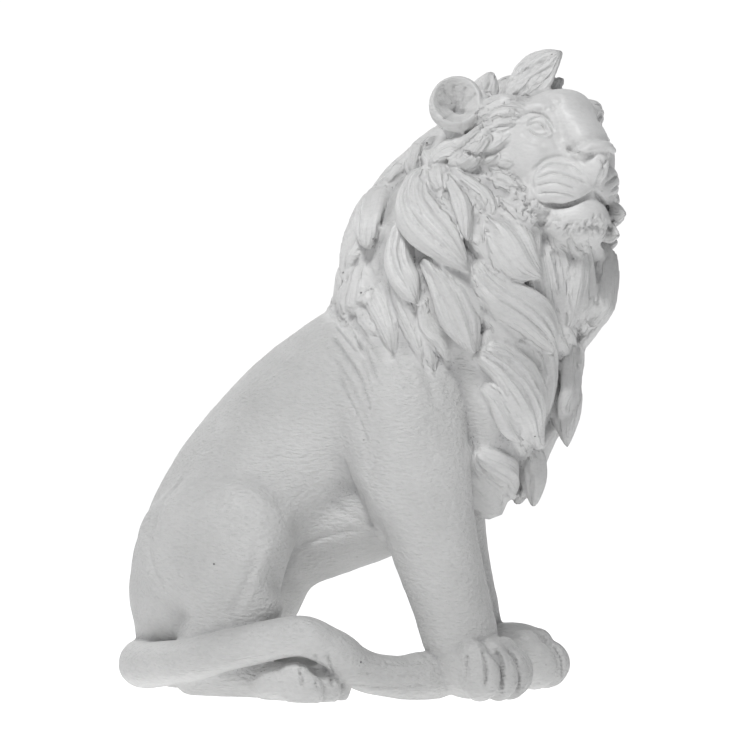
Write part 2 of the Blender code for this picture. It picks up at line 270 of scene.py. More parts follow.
# Locks round the mane: angle and height of root, angle and height of tip, width, sideways bow.
# All are mirrored to the far side, and the near side takes only those at the back of the neck.
sideLocks = [
    (-104, 418, -112, 376, 26, -6),
    (-134, 428, -138, 380, 28, -6),
    (-160, 424, -164, 366, 30, -4),
    (-128, 396, -124, 340, 34, -8),
    (-150, 382, -150, 318, 34, -6),
    (-166, 350, -158, 284, 34, -6),
    (-144, 334, -130, 268, 36, -6),
    (-112, 390, -102, 296, 32, -6),
    (-97, 398, -77, 322, 42, -12),
    (-84, 394, -70, 342, 28, 5),
    (-66, 380, -43, 322, 44, 4),
    (-54, 372, -34, 334, 30, 4),
    (-122, 330, -112, 258, 34, -6),
    (-98, 334, -83, 264, 42, -8),
    (-104, 306, -95, 244, 28, -6),
    (-74, 336, -44, 264, 42, 4),
    (-72, 304, -48, 270, 28, 4),
    (-74, 274, -47, 204, 36, 5),
    (-84, 262, -58, 192, 30, 6),
    (-88, 236, -74, 158, 30, 4),
    (-100, 222, -95, 140, 36, 0),
    (-64, 206, -48, 146, 32, 4),
    (-42, 258, -24, 190, 34, 4),
    (-40, 300, -18, 238, 34, 4),
    (-40, 356, -42, 276, 32, 0),
    (-22, 354, -35, 250, 30, 2),
    (-6, 350, 3, 282, 36, 3),
    (-16, 326, -14, 256, 30, -2),
    (-10, 282, 0, 212, 34, 2),
    (-20, 222, -12, 150, 32, 0),
]
# Locks behind the face on the far side, where the head turns away
farLocks = [
    (48, 440, 44, 392, 32, 4),
    (70, 450, 66, 396, 34, 4),
    (94, 452, 92, 396, 34, -4),
    (120, 452, 122, 392, 34, 4),
    (148, 452, 152, 396, 34, -4),
]
napeLocks = [(176, 440, 172, 388, 30, 4), (184, 404, 188, 342, 34, -4), (172, 366, 176, 300, 36, 4)]

# Locks of the side in view: points in the picture from root to tip, width in pixels, lift and height in mm
nearLocks = [
    ([(331, 262), (332, 290), (345, 318), (364, 352)], 20, 2, 6),
    ([(350, 255), (352, 280), (366, 312), (380, 336)], 22, 3, 7),
    ([(367, 225), (364, 262), (380, 305), (396, 356)], 28, 4, 8),
    ([(396, 230), (402, 275), (413, 320), (426, 364)], 26, 3, 7),
    ([(416, 262), (424, 310), (432, 340), (436, 372)], 22, 2, 6),
    ([(360, 240), (340, 262), (333, 288), (334, 305)], 20, 4, 7),
    ([(386, 226), (374, 250), (370, 276), (378, 304)], 28, 3, 7),
    ([(366, 232), (356, 250), (350, 272), (352, 298)], 24, 3, 7),
    ([(372, 190), (355, 214), (348, 235), (346, 250)], 24, 7, 10),
    ([(410, 142), (396, 160), (389, 176), (384, 196)], 24, 8, 10),
    ([(396, 172), (384, 200), (380, 226), (380, 252)], 32, 11, 11),
    ([(442, 126), (424, 140), (414, 158), (417, 180)], 30, 7, 9),
    ([(408, 222), (406, 258), (411, 284), (424, 305)], 28, 10, 11),
    ([(540, 236), (548, 280), (562, 330), (571, 366)], 34, 3, 8),
    ([(536, 262), (546, 320), (552, 372), (545, 420)], 28, 2, 8),
    ([(594, 240), (606, 272), (612, 300), (614, 327)], 30, 2, 8),
    ([(584, 276), (592, 308), (590, 330), (588, 344)], 26, 3, 8),
    ([(566, 318), (580, 348), (580, 366), (572, 384)], 26, 3, 8),
    ([(574, 236), (581, 262), (572, 300), (565, 324)], 26, 7, 10),
    ([(556, 238), (563, 262), (567, 290), (562, 316)], 26, 4, 7),
    ([(600, 240), (602, 262), (597, 290), (591, 312)], 26, 2, 7),
    ([(586, 240), (589, 268), (585, 300), (579, 322)], 24, 4, 7),
    ([(486, 168), (490, 190), (486, 215), (481, 245)], 30, 6, 8),
    ([(478, 162), (490, 182), (498, 206), (502, 236)], 36, 5, 7),
    ([(496, 176), (510, 196), (518, 216), (522, 240)], 30, 2, 6),
    ([(488, 126), (472, 148), (454, 160), (436, 176)], 26, 13, 8),
    ([(492, 134), (484, 152), (470, 164), (452, 172)], 18, 12, 6),
    ([(444, 178), (446, 200), (452, 222), (462, 250)], 26, 6, 6),
    ([(462, 262), (466, 284), (474, 300), (486, 316)], 26, 5, 7),
    ([(500, 262), (500, 290), (508, 318), (520, 340)], 30, 4, 7),
    ([(468, 446), (478, 480), (488, 500), (504, 518)], 38, 1, 6),
    ([(518, 436), (530, 466), (536, 486), (537, 507)], 28, 3, 9),
    ([(508, 470), (516, 488), (524, 500), (530, 506)], 22, 2, 7),
    ([(480, 452), (494, 458), (506, 474), (512, 494)], 26, 5, 9),
    ([(488, 384), (504, 402), (516, 422), (522, 440)], 30, 4, 9),
    ([(498, 312), (514, 336), (532, 358), (546, 386)], 38, 2, 8),
    ([(486, 330), (500, 350), (520, 366), (540, 396)], 30, 3, 7),
    ([(482, 348), (508, 370), (530, 400), (534, 448)], 42, 8, 13),
    ([(426, 296), (434, 322), (440, 340), (452, 362)], 22, 5, 9),
    ([(482, 312), (494, 322), (502, 336), (506, 350)], 16, 3, 6),
    ([(430, 256), (449, 288), (468, 320), (478, 352)], 38, 9, 13),
    ([(478, 262), (504, 292), (532, 320), (546, 352)], 42, 9, 13),
    ([(482, 184), (508, 194), (530, 226), (537, 262)], 26, 6, 9),
    ([(476, 212), (498, 236), (520, 256), (540, 277)], 44, 11, 13),
    ([(434, 168), (424, 206), (440, 242), (474, 272)], 42, 12, 13),
    ([(452, 172), (476, 192), (487, 218), (485, 250)], 30, 9, 10),
    ([(446, 176), (460, 196), (470, 222), (472, 246)], 17, 14, 8),
    ([(466, 206), (477, 228), (486, 248), (494, 272)], 28, 5, 8),
    ([(444, 236), (451, 254), (461, 270), (474, 288)], 30, 5, 8),
    ([(428, 154), (436, 166), (443, 180), (448, 198)], 26, 7, 8),
    ([(454, 154), (464, 164), (476, 172), (490, 182)], 22, 5, 7),
]
# Strands at the temple and the cheek, given likewise
faceStrands = [
    ([(480, 112), (498, 101), (515, 97), (532, 100)], 10, 1.0, 2.2),
    ([(478, 119), (496, 108), (512, 105), (525, 108)], 9, 0.8, 2.2),
    ([(476, 128), (494, 117), (508, 113), (519, 116)], 9, 0.7, 2.2),
    ([(472, 138), (488, 128), (502, 123), (514, 123)], 10, 0.7, 2.2),
    ([(458, 150), (478, 151), (495, 149), (511, 137)], 7, 0.8, 3),
    ([(460, 154), (478, 160), (490, 160), (500, 154)], 9, 1.0, 3),
    ([(440, 166), (462, 158), (478, 166), (490, 180)], 13, 2.5, 5),
    ([(480, 176), (496, 181), (512, 189), (523, 197)], 11, 1.5, 4),
    ([(484, 186), (502, 193), (515, 202), (524, 213)], 11, 1.0, 4),
    ([(488, 166), (500, 172), (514, 180), (527, 190)], 9, 0.5, 3),
]
# Carving of the face: points in the picture, width in pixels, depth in mm (below zero cuts in)
faceStrokes = [
    ([(597, 190), (588, 197), (576, 203), (563, 206), (546, 204), (538, 199)], 1.9, -4.2),
    ([(570, 146), (573, 151), (580, 153), (588, 155)], 2.0, -2.8),
    ([(573, 150), (580, 154), (589, 156), (598, 153)], 2.2, -3.0),
    ([(611, 158), (606, 168), (601, 178), (597, 189)], 1.6, -2.6),
    ([(549, 159), (538, 168), (534, 180), (537, 193), (546, 203)], 2.2, -1.8),
    ([(549, 159), (562, 156), (577, 162), (589, 175), (597, 188)], 2.2, -1.5),
    ([(540, 172), (553, 163), (574, 166), (587, 178)], 1.4, -2.0),
    ([(538, 179), (557, 172), (577, 178), (589, 184)], 1.4, -2.0),
    ([(537, 186), (557, 182), (578, 189)], 1.4, -2.0),
    ([(539, 193), (557, 192), (578, 196)], 1.4, -2.0),
    ([(526, 124), (534, 117.5), (543, 117.5), (550.5, 126), (553.5, 132)], 1.8, 2.2),
    ([(518, 120), (529, 113), (541, 113), (551, 121), (556, 131)], 1.8, -2.2),
    ([(529, 126), (536, 122), (543, 122.5), (549, 131)], 1.2, -2.4),
    ([(528, 128), (536, 136.5), (546, 137.5), (554, 134.5)], 1.5, 1.2),
    ([(530, 128), (537, 133.5), (545, 134.5), (551, 132.5)], 1.0, -1.5),
    ([(524, 132), (533, 142), (547, 144)], 2.6, -1.0),
    ([(553, 135), (558, 142), (562, 150)], 2.6, -0.9),
    ([(528, 125), (520, 124), (511, 128)], 1.8, -1.4),
    ([(556, 108), (561, 122), (566, 142)], 5.0, -2.0),
    ([(482, 106), (499, 97), (518, 94), (534, 98)], 1.6, -1.3),
    ([(482, 114), (498, 105), (514, 101), (531, 104)], 1.5, -1.2),
    ([(480, 123), (496, 112), (510, 108), (525, 111)], 1.5, -1.2),
    ([(477, 132), (492, 121), (506, 116), (519, 118)], 1.5, -1.2),
    ([(471, 142), (487, 135), (500, 127), (513, 126)], 1.7, -1.5),
    ([(462, 151), (480, 155), (498, 152), (511, 142)], 2.2, -3.0),
    ([(452, 160), (468, 154), (484, 162), (497, 177)], 2.0, -1.2),
    ([(476, 168), (492, 175), (508, 185), (523, 191)], 2.2, -1.1),
    ([(480, 180), (496, 187), (512, 197), (524, 206)], 2.2, -1.1),
    ([(486, 162), (500, 167), (514, 175), (526, 184)], 2.0, -0.9),
    ([(528, 105), (542, 105), (554, 112), (560, 123)], 4.0, 1.3),
    ([(590, 96), (598, 108), (604, 122)], 2.4, -1.0),
    ([(540, 92), (552, 98), (560, 108)], 2.5, -0.9),
    ([(498, 88), (512, 72), (530, 60), (552, 52)], 1.6, -1.1),
    ([(504, 90), (518, 76), (536, 66), (554, 58)], 1.6, -1.1),
    ([(512, 92), (526, 82), (542, 73), (555, 66)], 1.6, -1.1),
    ([(520, 94), (534, 86), (546, 80), (555, 74)], 1.5, -1.2),
    ([(488, 92), (494, 82), (500, 74)], 1.4, -1.2),
    ([(461, 109), (452, 97), (446, 90)], 1.3, -1.3),
    ([(461, 109), (457, 94), (456, 85)], 1.3, -1.3),
    ([(462, 109), (465, 94), (468, 86)], 1.3, -1.3),
    ([(462, 110), (472, 99), (478, 93)], 1.3, -1.3),
    ([(460, 110), (449, 106), (442, 104)], 1.3, -1.3),
    ([(460, 111), (450, 116), (444, 120)], 1.3, -1.2),
    ([(463, 111), (474, 112), (481, 113)], 1.5, -1.6),
    ([(462, 113), (464, 122), (463, 130)], 1.3, -1.0),
    ([(456, 108), (465, 111)], 2.8, -4.0),
]
# Middle line of the beard in the picture
beardLine = [(523, 190), (535, 206), (552, 218), (572, 226), (590, 227), (602, 220)]
# Carving of the body, given likewise
bodyStrokes = [
    ([(345, 312), (358, 328), (372, 346), (381, 364)], 2.8, -2.2),
    ([(338, 314), (354, 332), (369, 356), (378, 384)], 2.8, -3.4),
    ([(334, 324), (350, 344), (365, 368), (375, 400)], 2.6, -2.4),
    ([(333, 336), (346, 356), (362, 382), (373, 418)], 3.0, -3.6),
    ([(336, 358), (348, 380), (361, 405), (371, 432)], 2.6, -2.2),
    ([(338, 376), (350, 400), (362, 424), (370, 448)], 2.8, -2.8),
    ([(346, 404), (356, 424), (364, 440), (370, 462)], 2.4, -1.2),
    ([(326, 342), (336, 364), (348, 390)], 2.4, -1.4),
    ([(396, 356), (404, 376), (414, 396)], 4.0, -1.6),
    ([(424, 364), (432, 384), (440, 410)], 4.0, -1.4),
    ([(380, 380), (377, 430), (371, 474), (364, 500)], 5.0, -1.5),
    ([(402, 400), (400, 430), (403, 470), (410, 510)], 10.0, -1.0),
    ([(450, 400), (456, 440), (462, 480), (468, 520)], 10.0, -1.0),
    ([(344, 456), (354, 482), (364, 506), (372, 530)], 2.4, -1.8),
    ([(356, 476), (364, 496), (371, 520), (378, 538)], 2.0, -1.6),
    ([(330, 500), (346, 512), (362, 522), (378, 528)], 3.0, -1.2),
    ([(190, 474), (165, 500), (150, 540), (156, 574), (168, 596)], 5.0, -2.2),
    ([(262, 545), (252, 575), (240, 602), (230, 620)], 5.0, -1.8),
    ([(215, 478), (245, 476), (272, 492), (290, 520)], 6.0, -1.6),
    ([(486, 650), (487, 662), (488, 674), (487, 688)], 1.9, -3.8),
    ([(499, 650), (503, 660), (505, 674), (504, 692)], 1.9, -3.8),
    ([(511, 650), (517, 660), (521, 675), (520, 692)], 1.9, -3.8),
    ([(469, 654), (467, 666), (467, 680)], 1.9, -2.8),
    ([(305, 655), (302, 668), (304, 688)], 1.7, -3.2),
    ([(317, 653), (317, 668), (320, 690)], 1.7, -3.2),
    ([(329, 655), (332, 670), (335, 688)], 1.7, -3.2),
    ([(372, 662), (392, 664), (412, 664), (428, 662)], 1.5, -1.2),
    ([(358, 672), (384, 676), (410, 676), (430, 674)], 1.4, -1.4),
    ([(352, 684), (380, 687), (408, 687), (430, 685)], 1.4, -1.2),
    ([(300, 546), (318, 540), (340, 534), (372, 528)], 2.5, -1.4),
]


def lay(values):
    return np.array(values, dtype=float) * unit


def matrix(value):
    return np.array(value, dtype=float)


def newClay():
    return {"points": [], "faces": [], "count": 0, "strands": []}


# Faces already worked out, by the number of rings and sides
topology = {}


def ringFaces(rings, sides):
    # Triangles of a closed form: a pole, rings of points, and a pole
    if (rings, sides) in topology:
        return topology[(rings, sides)]
    step = np.arange(sides)
    after = (step + 1) % sides
    faces = [np.stack([np.zeros(sides, int), 1 + after, 1 + step], 1)]
    for k in range(rings - 2):
        a = 1 + k * sides
        b = a + sides
        faces.append(np.stack([a + step, a + after, b + after], 1))
        faces.append(np.stack([a + step, b + after, b + step], 1))
    last = 1 + (rings - 2) * sides
    faces.append(np.stack([last + step, last + after, np.full(sides, last + sides)], 1))
    topology[(rings, sides)] = np.concatenate(faces)
    return topology[(rings, sides)]


def addRings(clay, rows, frame=None):
    # rows holds rings + 1 rows of points; the first and the last row close to a pole
    rings, sides = rows.shape[0] - 1, rows.shape[1]
    points = np.concatenate([rows[0].mean(0)[None], rows[1:-1].reshape(-1, 3), rows[-1].mean(0)[None]])
    if frame is not None:
        points = points @ frame[:3, :3].T + frame[:3, 3]
    clay["points"].append(points)
    clay["faces"].append(ringFaces(rings, sides) + clay["count"])
    clay["count"] += len(points)


def eased(stations, t):
    # A smooth course through the stations, from t = 0 to t = 1
    last = len(stations) - 1
    place = min(max(t, 0.0), 1.0) * last
    k = min(int(place), last - 1)
    u = place - k
    p0, p1 = np.array(stations[max(k - 1, 0)], float), np.array(stations[k], float)
    p2, p3 = np.array(stations[k + 1], float), np.array(stations[min(k + 2, last)], float)
    bend, twist = 2 * p0 - 5 * p1 + 4 * p2 - p3, 3 * p1 - p0 - 3 * p2 + p3
    return 0.5 * (2 * p1 + (p2 - p0) * u + bend * u**2 + twist * u**3)


def unitVector(v):
    return v / max(np.linalg.norm(v), 1e-12)


def endRound(t, share):
    # Rounds both ends of a form, each over a share of its length
    near = min(t, 1.0 - t) / share
    return 1.0 if near >= 1.0 else math.sqrt(max(0.0, 1.0 - (1.0 - near) ** 2))


def sweep(clay, stations, side=(0, 1, 0), rings=40, sides=36, share=0.14, frame=None):
    turn = np.linspace(0, 2 * math.pi, sides, endpoint=False)
    rows = []
    for k in range(rings + 1):
        t = k / rings
        x, y, z, depth, width = eased(stations, t)
        ahead = unitVector(eased(stations, t + 0.01)[:3] - eased(stations, t - 0.01)[:3])
        across = unitVector(np.array(side, float) - ahead * np.dot(side, ahead))
        out = np.cross(ahead, across)
        scale = endRound(t, share) * unit
        sideways, outwards = np.cos(turn) * width * scale, np.sin(turn) * depth * scale
        rows.append(lay((x, y, z)) + np.outer(sideways, across) + np.outer(outwards, out))
    addRings(clay, np.array(rows), frame)


def ball(radii, rings=24, sides=32):
    t = np.linspace(0, math.pi, rings + 1)[:, None]
    turn = np.linspace(0, 2 * math.pi, sides, endpoint=False)[None]
    rows = np.stack([np.sin(t) * np.cos(turn), np.sin(t) * np.sin(turn), np.cos(t) + 0 * turn], 2)
    return rows * lay(radii)


def blob(clay, place, radii, frame=None, rings=24, sides=32):
    addRings(clay, ball(radii, rings, sides) + lay(place), frame)


def turned(degrees, axis):
    return Matrix.Rotation(math.radians(degrees), 4, axis)


def moved(place):
    return Matrix.Translation(Vector(place) * unit)


def headFrame():
    turn = turned(lion["headYaw"], "Z") @ turned(-lion["headPitch"], "Y")
    return matrix(moved(lion["headPlace"]) @ turn)


def mirrored(stations, side, shift=0):
    return [(x + shift, side * y, z, depth, width) for x, y, z, depth, width in stations]


def trunkAndLegs(clay):
    sweep(clay, trunk)
    sweep(clay, belly)
    for side, foreShift, hindShift in ((-1, 0, 0), (1, lion["farForeShift"], lion["farHindShift"])):
        sweep(clay, mirrored(foreLeg, side, foreShift))
        for limb in (thigh, shin, foot):
            sweep(clay, mirrored(limb, side, hindShift))
    for place, radii in (rump, breast):
        blob(clay, place, radii)


def tailForm(clay):
    half = lion["tailThickness"] / unit / 2
    sweep(clay, [(x, y, z, half * share, half * share) for x, y, z, share in tail], side=(0, 0, 1), rings=90)
    # The tuft at the tail's end: strands side by side
    strands = 7
    for k in range(strands):
        a = k / (strands - 1) - 0.5
        root = (26 + 6 * abs(a), -82 + 16 * a, 22 + 12 * math.cos(a * 3))
        tip = (88, -36 + 20 * a, 18 + 6 * math.cos(a * 3))
        middle = tuple((p + q) / 2 + d for p, q, d in zip(root, tip, (0, 4 * math.sin(k * 2.0), 3)))
        tuft(clay, [lay(root), lay(middle), lay(tip)], 11, np.array([0.1, -0.6, 0.8]), 0.010)


def paw(clay, place, side, yaw, height=1.0):
    half = lion["pawWidth"] / unit / 2
    x, y, z = place
    frame = matrix(moved((x, side * y, z)) @ turned(yaw, "Z"))
    frame[:3, 2] *= height
    blob(clay, (-4, 0, 2), (36, half, 26), frame)
    for n in range(4):
        across = (n - 1.5) / 1.5
        reach = 24 - 7 * across**2
        blob(clay, (reach, across * half * lion["toeSpread"], -4), (18, half * 0.34, 19), frame)
        blob(clay, (reach - 7, across * half * 0.68, 10), (13, half * 0.32, 13), frame)


def toeSlits(place, yaw, height):
    # The three lines between the toes of a far paw
    half = lion["pawWidth"] / unit / 2
    frame = matrix(moved(place) @ turned(yaw, "Z"))
    frame[:3, 2] *= height
    for across in (-0.667, 0.0, 0.667):
        y = across * half * lion["toeSpread"]
        stations = [(16, y, 24), (36, y, 10), (42, y, -16)]
        line = lay([eased(stations, k / 16) for k in range(17)])
        yield line @ frame[:3, :3].T + frame[:3, 3]


def faceForms(clay):
    frame = headFrame()
    for place, radii in headMiddle:
        blob(clay, place, radii, frame)
    for (x, y, z), radii in headSides:
        for side in (-1, 1):
            blob(clay, (x, side * y, z), radii, frame)
    sweep(clay, bridge, frame=frame)


def vertexRows(mesh, what="co"):
    rows = np.empty(len(mesh.vertices) * 3)
    mesh.vertices.foreach_get(what, rows)
    return rows.reshape(-1, 3)


def setPoints(mesh, points):
    mesh.vertices.foreach_set("co", points.ravel())
    mesh.update()


def pressFace(head):
    # Pushes the hollows of the face inwards, on both sides alike
    frame, points = headFrame(), vertexRows(head.data)
    for (x, y, z), radius, depth in presses:
        for side in (-1, 1):
            middle = frame[:3, :3] @ lay((x, side * y, z)) + frame[:3, 3]
            inwards = unitVector(frame[:3, 3] - middle)
            reach = np.linalg.norm(points - middle, axis=1) / (radius * unit)
            points += np.outer(np.exp(-(reach**2) * 1.5) * depth * unit, inwards)
    setPoints(head.data, points)


def faceFeatures(clay):
    frame = headFrame()
    for place, radii in noseForms:
        blob(clay, place, radii, frame)
    for side in (-1, 1):
        for (x, y, z), radii in noseSides + [eyeBall]:
            blob(clay, (x, side * y, z), radii, frame)
        long = unitVector(np.array(padLong) * (1, side, 1))
        out = unitVector(np.cross(long, (0, 0, 1)))
        turn = np.eye(4)
        turn[:3, 0], turn[:3, 1], turn[:3, 2] = long, out, np.cross(long, out)
        turn[:3, 3] = lay(np.array(padPlace) * (1, side, 1))
        blob(clay, (0, 0, 0), padRadii, frame @ turn)


def pixelRay(px, py):
    # The line of sight through a pixel of the picture, before the figure is moved to its floor
    angle = math.radians(studio["cameraAzimuth"])
    ahead = Vector((-math.sin(angle), math.cos(angle), 0))
    right = Vector((math.cos(angle), math.sin(angle), 0))
    eye = Vector((0, 0, studio["cameraHeight"] + lion["floor"] * unit)) - ahead * studio["cameraDistance"]
    centre = lion["pictureSize"] / 2
    focal = studio["cameraLens"] / studio["sensorWidth"] * lion["pictureSize"]
    return eye, (ahead + right * ((px - centre) / focal) + Vector((0, 0, (centre - py) / focal))).normalized()


def spotAt(tree, px, py):
    # The point of the skin seen at a pixel, or where none is seen, the nearest one to the line of sight
    eye, aim = pixelRay(px, py)
    spot, normal, _, _ = tree.ray_cast(eye, aim)
    if spot is None:
        reach = studio["cameraDistance"] + np.linspace(-0.251, 0.249, 51)
        tries = [tree.find_nearest(eye + aim * far) for far in reach]
        spot, normal, _, _ = min(tries, key=lambda found: found[3])
    return np.array(spot), np.array(normal)


def skinPath(tree, spots, count):
    # A path on the skin under the picture's points, with its smoothed normals
    found = [spotAt(tree, *eased(spots, k / count)) for k in range(count + 1)]
    places, normals = np.array([f[0] for f in found]), np.array([f[1] for f in found])
    for _ in range(3):
        for rows in (places, normals):
            rows[1:-1] = (rows[:-2] + 2 * rows[1:-1] + rows[2:]) / 4
    return places, normals / np.linalg.norm(normals, axis=1)[:, None]


def ears(clay):
    frame = headFrame()
    half = lion["earWidth"] / unit / 2
    for side, (x, y, z) in lion["ears"].items():
        blob(clay, (x - 15, side * (y - 14), z - 8), (16, 15, 19), frame)
        blob(clay, (x - 10, side * (y - 16), z - 20), (17, 15, 17), frame)
        # A ball with its front pushed in to a hollow, and turned outwards
        tall, rim = 1.12, 0.82
        cup = ball((half * 0.72, half, half * tall), 40, 56)
        fromMiddle = np.hypot(cup[..., 1], cup[..., 2] / tall) / (half * unit)
        hollow = half * 1.15 * unit * np.clip(1 - fromMiddle / rim, 0, None) ** 0.7
        cup[..., 0] -= np.where(cup[..., 0] > 0, hollow, 0)
        aim = turned(side * 38, "Z") @ turned(-12, "Y")
        addRings(clay, cup, frame @ matrix(moved((x, side * y, z)) @ aim))


def maneAt(angle, z):
    # The point of the mane's core at an angle and a height, and the way it faces
    z = min(max(z, maneCore[0][0]), maneCore[-1][0])
    low, high = next((a, b) for a, b in zip(maneCore, maneCore[1:]) if a[0] <= z <= b[0])
    u = (z - low[0]) / (high[0] - low[0])
    x, y, length, width = (a + (b - a) * u for a, b in zip(low[1:], high[1:]))
    length, width = length - lion["coreInset"], width - lion["coreInset"]
    turn = math.radians(angle)
    place = lay((x + length * math.cos(turn), y + width * math.sin(turn), z))
    return place, unitVector(np.array([math.cos(turn) / length, math.sin(turn) / width, 0.0]))


def leafShare(t):
    # Breadth of a lock along its length: it widens from its root and ends in a point
    return min(1.0, 0.5 + 1.1 * t) * (1.0 - max(0.0, (t - 0.55) / 0.45) ** 1.8)


def blade(clay, spine, width, height, depth, ridges, rings=44, sides=64, cut=0.52, tilt=0.0, swing=0.0):
    # A leaf of hair: its crowned upper side is parted into uneven strands that meet at the tip
    turn = np.linspace(0, 2 * math.pi, sides, endpoint=False)
    c, s = np.cos(turn), np.sin(turn)
    u = np.sign(c) * np.abs(c) ** 0.85
    rows = []
    for k in range(rings + 1):
        t = k / rings
        place, facing = spine(t)
        ahead = unitVector(spine(min(t + 0.03, 1.0))[0] - spine(max(t - 0.03, 0.0))[0])
        across = unitVector(np.cross(ahead, facing))
        out = np.cross(across, ahead)
        place = place + across * (width * swing * math.sin(2 * math.pi * t))
        close = endRound(t, 0.14 if t < 0.5 else 0.1)
        uneven = 0.16 * np.sin(3.1 * u + 2.3 * ridges + 5 * width / unit)
        bent = u + 0.22 * math.sin(2.6 * t + ridges * 1.7) + uneven
        broad = 1 - np.abs(np.cos(ridges * math.pi / 2 * bent + 0.6 * ridges)) ** 0.8
        fine = 1 - np.abs(np.cos(ridges * math.pi * 1.15 * bent + 1.1)) ** 0.7
        strands = 1 - cut * broad - 0.36 * cut * fine
        top = height * (0.45 + 0.55 * (1 - np.abs(u) ** 2.4)) * strands * (1 - 0.45 * t**2) * close
        under = depth * (1 - 0.6 * t) * close
        share = leafShare(t)
        rise = np.where(s > 0, np.abs(s) ** 0.6 * top, -np.abs(s) ** 0.7 * under) + tilt * height * u * share
        rows.append(place + np.outer(width / 2 * share * u, across) + np.outer(rise, out))
    addRings(clay, np.array(rows))

    # Where each point lies in its lock: across, along, and which lock
    number = len(clay["strands"])
    length = np.linalg.norm(np.diff([spine(k / 8)[0] for k in range(9)], axis=0), axis=1).sum()
    along = np.repeat(np.arange(1, rings) / rings * length, sides)
    inside = np.stack([np.tile(u * width / 2, rings - 1), along, np.full(len(along), number)], 1)
    clay["strands"].append(np.concatenate([[(0, 0, number)], inside, [(0, length, number)]]))


def acrossHead(places):
    # The same places on the other side of the head
    frame = headFrame()
    back = np.linalg.inv(frame)
    local = (places @ back[:3, :3].T + back[:3, 3]) * (1, -1, 1)
    return local @ frame[:3, :3].T + frame[:3, 3]


def snapped(tree, places):
    # The nearest points of the skin, and the way they face
    found = [tree.find_nearest(Vector(place)) for place in places]
    return np.array([spot[0] for spot in found]), np.array([spot[1] for spot in found])


def photoLock(clay, tree, lock, ridges, sink=0.002, tilt=0.0, swing=0.0, across=False):
    # A lock laid on the skin under points of the picture, lifting towards its tip
    spots, width, lift, height = lock
    count = 14
    places, normals = skinPath(tree, spots, count)
    if across:
        places, normals = snapped(tree, acrossHead(places))

    def spine(t):
        k = min(int(t * count), count - 1)
        u = t * count - k
        facing = unitVector(normals[k] * (1 - u) + normals[k + 1] * u)
        rise = math.sin(math.pi / 2 * min(1.0, t / 0.7)) - 0.2 * max(0.0, (t - 0.8) / 0.2) ** 2
        return places[k] * (1 - u) + places[k + 1] * u + facing * (lift * 0.001 * rise - sink), facing

    depth = 0.004 + 0.0003 * lift
    blade(clay, spine, width * lion["pixel"] * 1.12, height * 0.001, depth, ridges, tilt=tilt, swing=swing)


def maneLock(clay, lock, sway, ridges):
    # A lock laid on the mane's core, bowed and swaying on its way down
    rootAngle, rootZ, tipAngle, tipZ, width, bow = lock
    thick = lion["lockThickness"]

    def spine(t):
        angle = rootAngle + (tipAngle - rootAngle) * t**1.2
        angle += bow * math.sin(math.pi * t) + sway * math.sin(2 * math.pi * t)
        place, facing = maneAt(angle, rootZ + (tipZ - rootZ) * t)
        return place + facing * lion["lockLift"] * math.sin(math.pi / 2 * min(1.0, t / 0.8)), facing

    swing = 0.03 * sway
    blade(clay, spine, width * unit * 1.15, thick * 0.6, thick * 0.4, ridges, tilt=0.1 * sway, swing=swing)


def tuft(clay, ends, width, facing, thick=None, ridges=3):
    # A free lock on a bent line from root to tip
    a, b, c = ends
    thick = thick or lion["lockThickness"]

    def spine(t):
        return a * (1 - t) ** 2 + b * (2 * t * (1 - t)) + c * t * t, facing

    blade(clay, spine, width * unit, thick * 0.6, thick * 0.4, ridges, rings=30, sides=44)


def maneCoreForm(clay):
    turn = np.linspace(0, 360, 72, endpoint=False)
    rows = []
    for z in np.linspace(maneCore[0][0], maneCore[-1][0], 91):
        rows.append([maneAt(angle, z)[0] for angle in turn])
    addRings(clay, np.array(rows))


def maneForms(clay, tree):
    sways, tilts, swings = (2.4, -2.8, 1.8, -2.0), (0.22, -0.12, 0.26, -0.16), (0.09, -0.07, 0.1)
    for number, lock in enumerate(sideLocks):
        rootAngle, rootZ, tipAngle, tipZ, width, bow = lock
        ridges = 4 if width > 32 else 3
        if rootAngle < -140:
            maneLock(clay, lock, sways[number % 4], ridges)
        farLock = (-rootAngle, rootZ - 4, -tipAngle, tipZ + 3, width, -bow)
        maneLock(clay, farLock, sways[(number + 1) % 4], ridges)
    for number, lock in enumerate(napeLocks):
        maneLock(clay, lock, sways[number], 4)
    for number, lock in enumerate(nearLocks):
        ridges = 3.5 if lock[1] > 36 else (2.6 if lock[1] > 20 else 2)
        photoLock(clay, tree, lock, ridges, tilt=tilts[number % 4], swing=swings[number % 3])
    for strand in faceStrands:
        for across in (False, True):
            photoLock(clay, tree, strand, 2, sink=0.001, across=across)
    for number, lock in enumerate(farLocks):
        maneLock(clay, lock, sways[number % 4], 4)
    facing = np.array([-0.3, -1.0, 0.2])
    for root, middle, tip, width in freeTufts:
        tuft(clay, [lay(root), lay(middle), lay(tip)], width, facing, ridges=5 if width > 30 else 3)


def headTufts(clay):
    frame = headFrame()
    for side in (-1, 1):
        facing = frame[:3, :3] @ np.array([0.3, side, -0.15])
        for root, middle, tip, width, thick in jawTufts + (farTufts if side > 0 else []):
            ends = [frame[:3, :3] @ lay((x, side * y, z)) + frame[:3, 3] for x, y, z in (root, middle, tip)]
            tuft(clay, ends, width, facing, thick)


